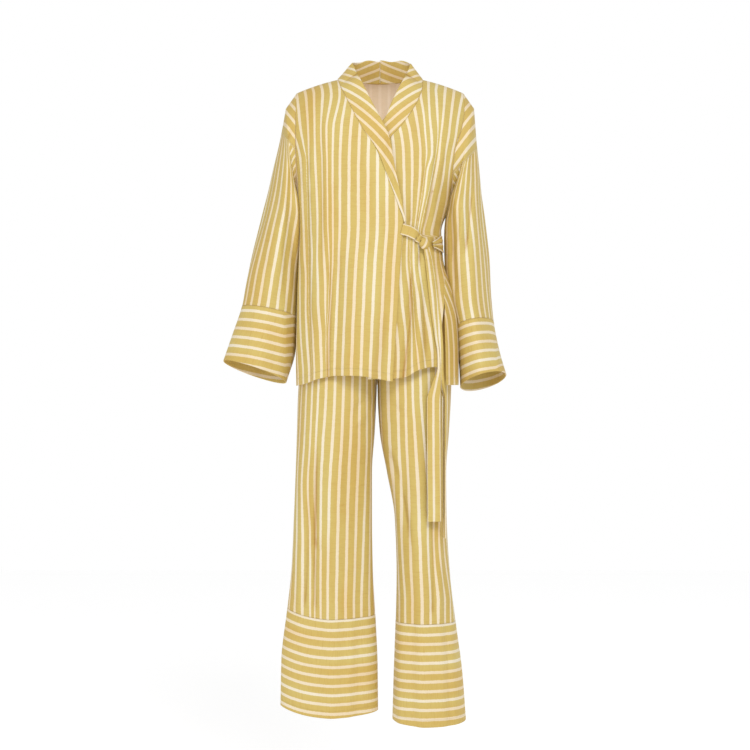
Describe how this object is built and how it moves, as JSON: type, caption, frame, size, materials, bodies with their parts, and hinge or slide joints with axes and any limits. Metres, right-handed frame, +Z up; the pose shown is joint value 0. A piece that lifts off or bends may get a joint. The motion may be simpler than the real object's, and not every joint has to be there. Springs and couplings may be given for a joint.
{
  "type": "kimono lounge set",
  "caption": "Loose striped kimono-style wrap top with a side tie and wide cuffs, and wide-legged trousers with deep hem bands, in the hollow form they have when worn.",
  "frame": {"origin": "between the shoulders at the base of the neck, where the wearer carries the top", "axes": "+Z up; the front faces -Y; the wearer's right is -X"},
  "size_m": [0.6209, 0.2665, 1.4612],
  "materials": {
    "striped_cloth": "plain woven yellow cloth with white stripes along the length",
    "striped_trim": "the same cloth, doubled, with its stripes across on the cuffs and hem bands",
    "waistband_cloth": "the same cloth, gathered over elastic"
  },
  "bodies": {
    "root": {"back": "striped_cloth", "front_right": "striped_cloth", "front_left": "striped_cloth", "sleeve_right": "striped_cloth", "sleeve_left": "striped_cloth", "leg_front_right": "striped_cloth", "leg_back_right": "striped_cloth", "leg_front_left": "striped_cloth", "leg_back_left": "striped_cloth", "collar_right": "striped_trim", "collar_left": "striped_trim", "cuff_right": "striped_trim", "cuff_left": "striped_trim", "hem_band_right": "striped_trim", "hem_band_left": "striped_trim", "tie_strap": "striped_trim", "tie_side": "striped_trim", "tie_knot": "striped_trim", "tie_tail_front": "striped_trim", "tie_tail_back": "striped_trim", "waistband": "waistband_cloth"}
  },
  "joints": []
}
